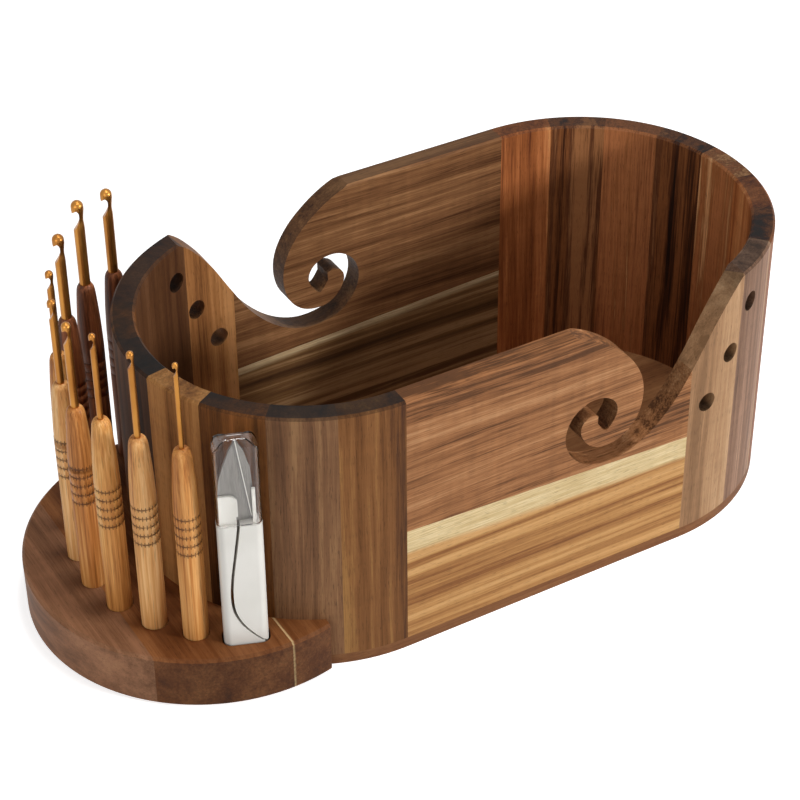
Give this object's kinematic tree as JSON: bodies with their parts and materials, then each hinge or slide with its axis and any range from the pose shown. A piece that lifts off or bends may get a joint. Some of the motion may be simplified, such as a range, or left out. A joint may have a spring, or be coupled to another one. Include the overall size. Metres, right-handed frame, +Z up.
{
  "type": "yarn dispenser box",
  "caption": "Oval coopered wooden yarn bowl with scroll notches and guide holes, and a tool shelf that holds crochet hooks and a capped thread snip.",
  "frame": {"origin": "centre of the bowl's underside, on the surface it stands on", "axes": "+X along the box away from the tool shelf, +Z up, -Y the front with the capped snip"},
  "size_m": [0.348, 0.16, 0.165],
  "materials": {
    "timber_brown": "satin oil",
    "timber_light": "satin oil",
    "timber_dark": "satin oil",
    "handle_light": "satin",
    "handle_dark": "satin",
    "gold_metal": "gold anodised, polished",
    "white_plastic": "smooth",
    "clear_plastic": "clear",
    "blade_steel": "brushed"
  },
  "bodies": {
    "box": {"base_plate": "timber_brown", "front_upper_board": "timber_brown", "front_lower_board": "timber_light", "back_upper_board": "timber_brown", "back_lower_board": "timber_light", "left_stave_1": "timber_light", "left_stave_2": "timber_brown", "left_stave_3": "timber_dark", "left_stave_4": "timber_brown", "left_stave_5": "timber_light", "left_stave_6": "timber_dark", "left_stave_7": "timber_brown", "left_stave_8": "timber_brown", "left_stave_9": "timber_dark", "right_stave_1": "timber_light", "right_stave_2": "timber_brown", "right_stave_3": "timber_dark", "right_stave_4": "timber_brown", "right_stave_5": "timber_light", "right_stave_6": "timber_dark", "right_stave_7": "timber_brown", "right_stave_8": "timber_light", "right_stave_9": "timber_brown", "shelf_outer_board": "timber_dark", "shelf_middle_board": "timber_dark", "shelf_front_tip": "timber_brown", "shelf_back_tip": "timber_brown"},
    "hook_1": {"hook_1_handle": "handle_light", "hook_1_shaft": "gold_metal"},
    "hook_2": {"hook_2_handle": "handle_light", "hook_2_shaft": "gold_metal"},
    "hook_3": {"hook_3_handle": "handle_light", "hook_3_shaft": "gold_metal"},
    "hook_4": {"hook_4_handle": "handle_light", "hook_4_shaft": "gold_metal"},
    "hook_5": {"hook_5_handle": "handle_light", "hook_5_shaft": "gold_metal"},
    "hook_6": {"hook_6_handle": "handle_light", "hook_6_shaft": "gold_metal"},
    "hook_7": {"hook_7_handle": "handle_dark", "hook_7_shaft": "gold_metal"},
    "hook_8": {"hook_8_handle": "handle_dark", "hook_8_shaft": "gold_metal"},
    "hook_9": {"hook_9_handle": "handle_dark", "hook_9_shaft": "gold_metal"},
    "snip": {"snip_body": "white_plastic", "snip_blade_fixed": "blade_steel", "snip_pivot_pin": "blade_steel"},
    "snip_arm": {"snip_arm": "white_plastic", "snip_blade_moving": "blade_steel"},
    "snip_cap": {"snip_cap": "clear_plastic"}
  },
  "joints": [
    {"name": "hook_1_lift", "type": "slide", "parent": "box", "child": "hook_1", "axis": [0, 0, 1], "range_m": [0, 0.03]},
    {"name": "hook_2_lift", "type": "slide", "parent": "box", "child": "hook_2", "axis": [0, 0, 1], "range_m": [0, 0.03]},
    {"name": "hook_3_lift", "type": "slide", "parent": "box", "child": "hook_3", "axis": [0, 0, 1], "range_m": [0, 0.03]},
    {"name": "hook_4_lift", "type": "slide", "parent": "box", "child": "hook_4", "axis": [0, 0, 1], "range_m": [0, 0.03]},
    {"name": "hook_5_lift", "type": "slide", "parent": "box", "child": "hook_5", "axis": [0, 0, 1], "range_m": [0, 0.03]},
    {"name": "hook_6_lift", "type": "slide", "parent": "box", "child": "hook_6", "axis": [0, 0, 1], "range_m": [0, 0.03]},
    {"name": "hook_7_lift", "type": "slide", "parent": "box", "child": "hook_7", "axis": [0, 0, 1], "range_m": [0, 0.03]},
    {"name": "hook_8_lift", "type": "slide", "parent": "box", "child": "hook_8", "axis": [0, 0, 1], "range_m": [0, 0.03]},
    {"name": "hook_9_lift", "type": "slide", "parent": "box", "child": "hook_9", "axis": [0, 0, 1], "range_m": [0, 0.03]},
    {"name": "snip_lift", "type": "slide", "parent": "box", "child": "snip", "axis": [0, 0, 1], "range_m": [0, 0.03]},
    {"name": "snip_cap_slide", "type": "slide", "parent": "snip", "child": "snip_cap", "axis": [0, 0, 1], "range_m": [0, 0.09]},
    {"name": "snip_open", "type": "hinge", "parent": "snip", "child": "snip_arm", "pos_m": [-0.1305, -0.06625, 0.019], "axis": [0.3518, 0.9361, 0], "range_deg": [0, 4.2]}
  ],
  "couplings": [
    {"joint": "snip_open", "follows": "snip_cap_slide", "rad_per_m": 0.7757}
  ]
}
